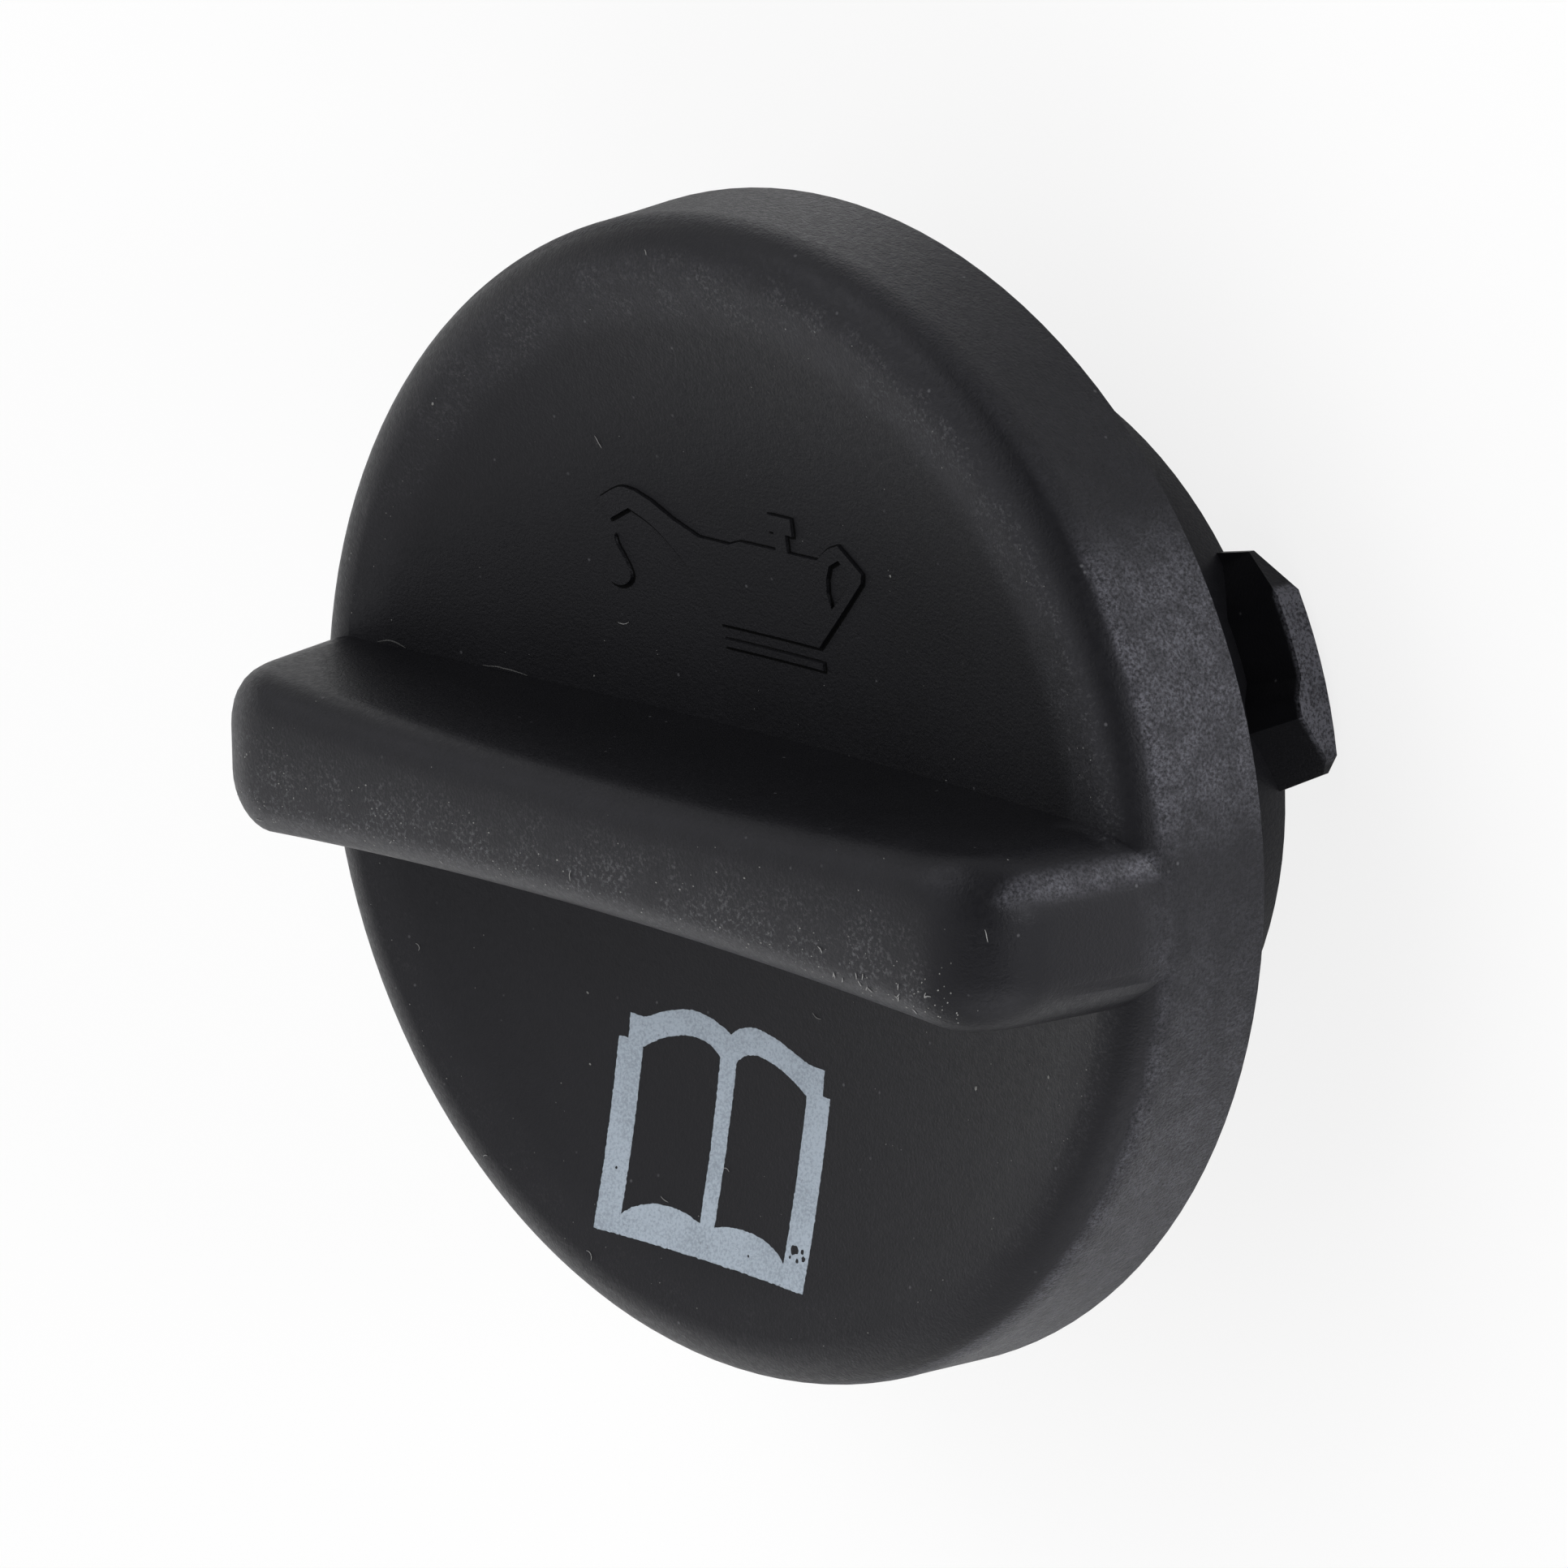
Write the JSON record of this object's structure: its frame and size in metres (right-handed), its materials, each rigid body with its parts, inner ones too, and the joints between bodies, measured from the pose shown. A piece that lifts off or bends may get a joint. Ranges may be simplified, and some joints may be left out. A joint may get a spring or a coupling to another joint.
{
  "type": "engine oil filler cap",
  "caption": "Round bayonet oil filler cap with a dished face, a waisted grip bar, a hollow barrel with cam lugs and a rubber seal ring.",
  "frame": {"origin": "on the cap's axis, in the plane of the barrel's open end, on which the cap stands", "axes": "+Z along the axis towards the grip bar, +X along the grip bar towards the first lug, +Y by the right-hand rule"},
  "size_m": [0.06, 0.06, 0.0294],
  "materials": {
    "moulding": "fine spark-eroded grain, matt",
    "seal_rubber": "smooth moulded rubber",
    "print": "pad-printed pale grey ink"
  },
  "bodies": {
    "root": {"cap": "moulding", "seal_ring": "seal_rubber"}
  },
  "joints": []
}
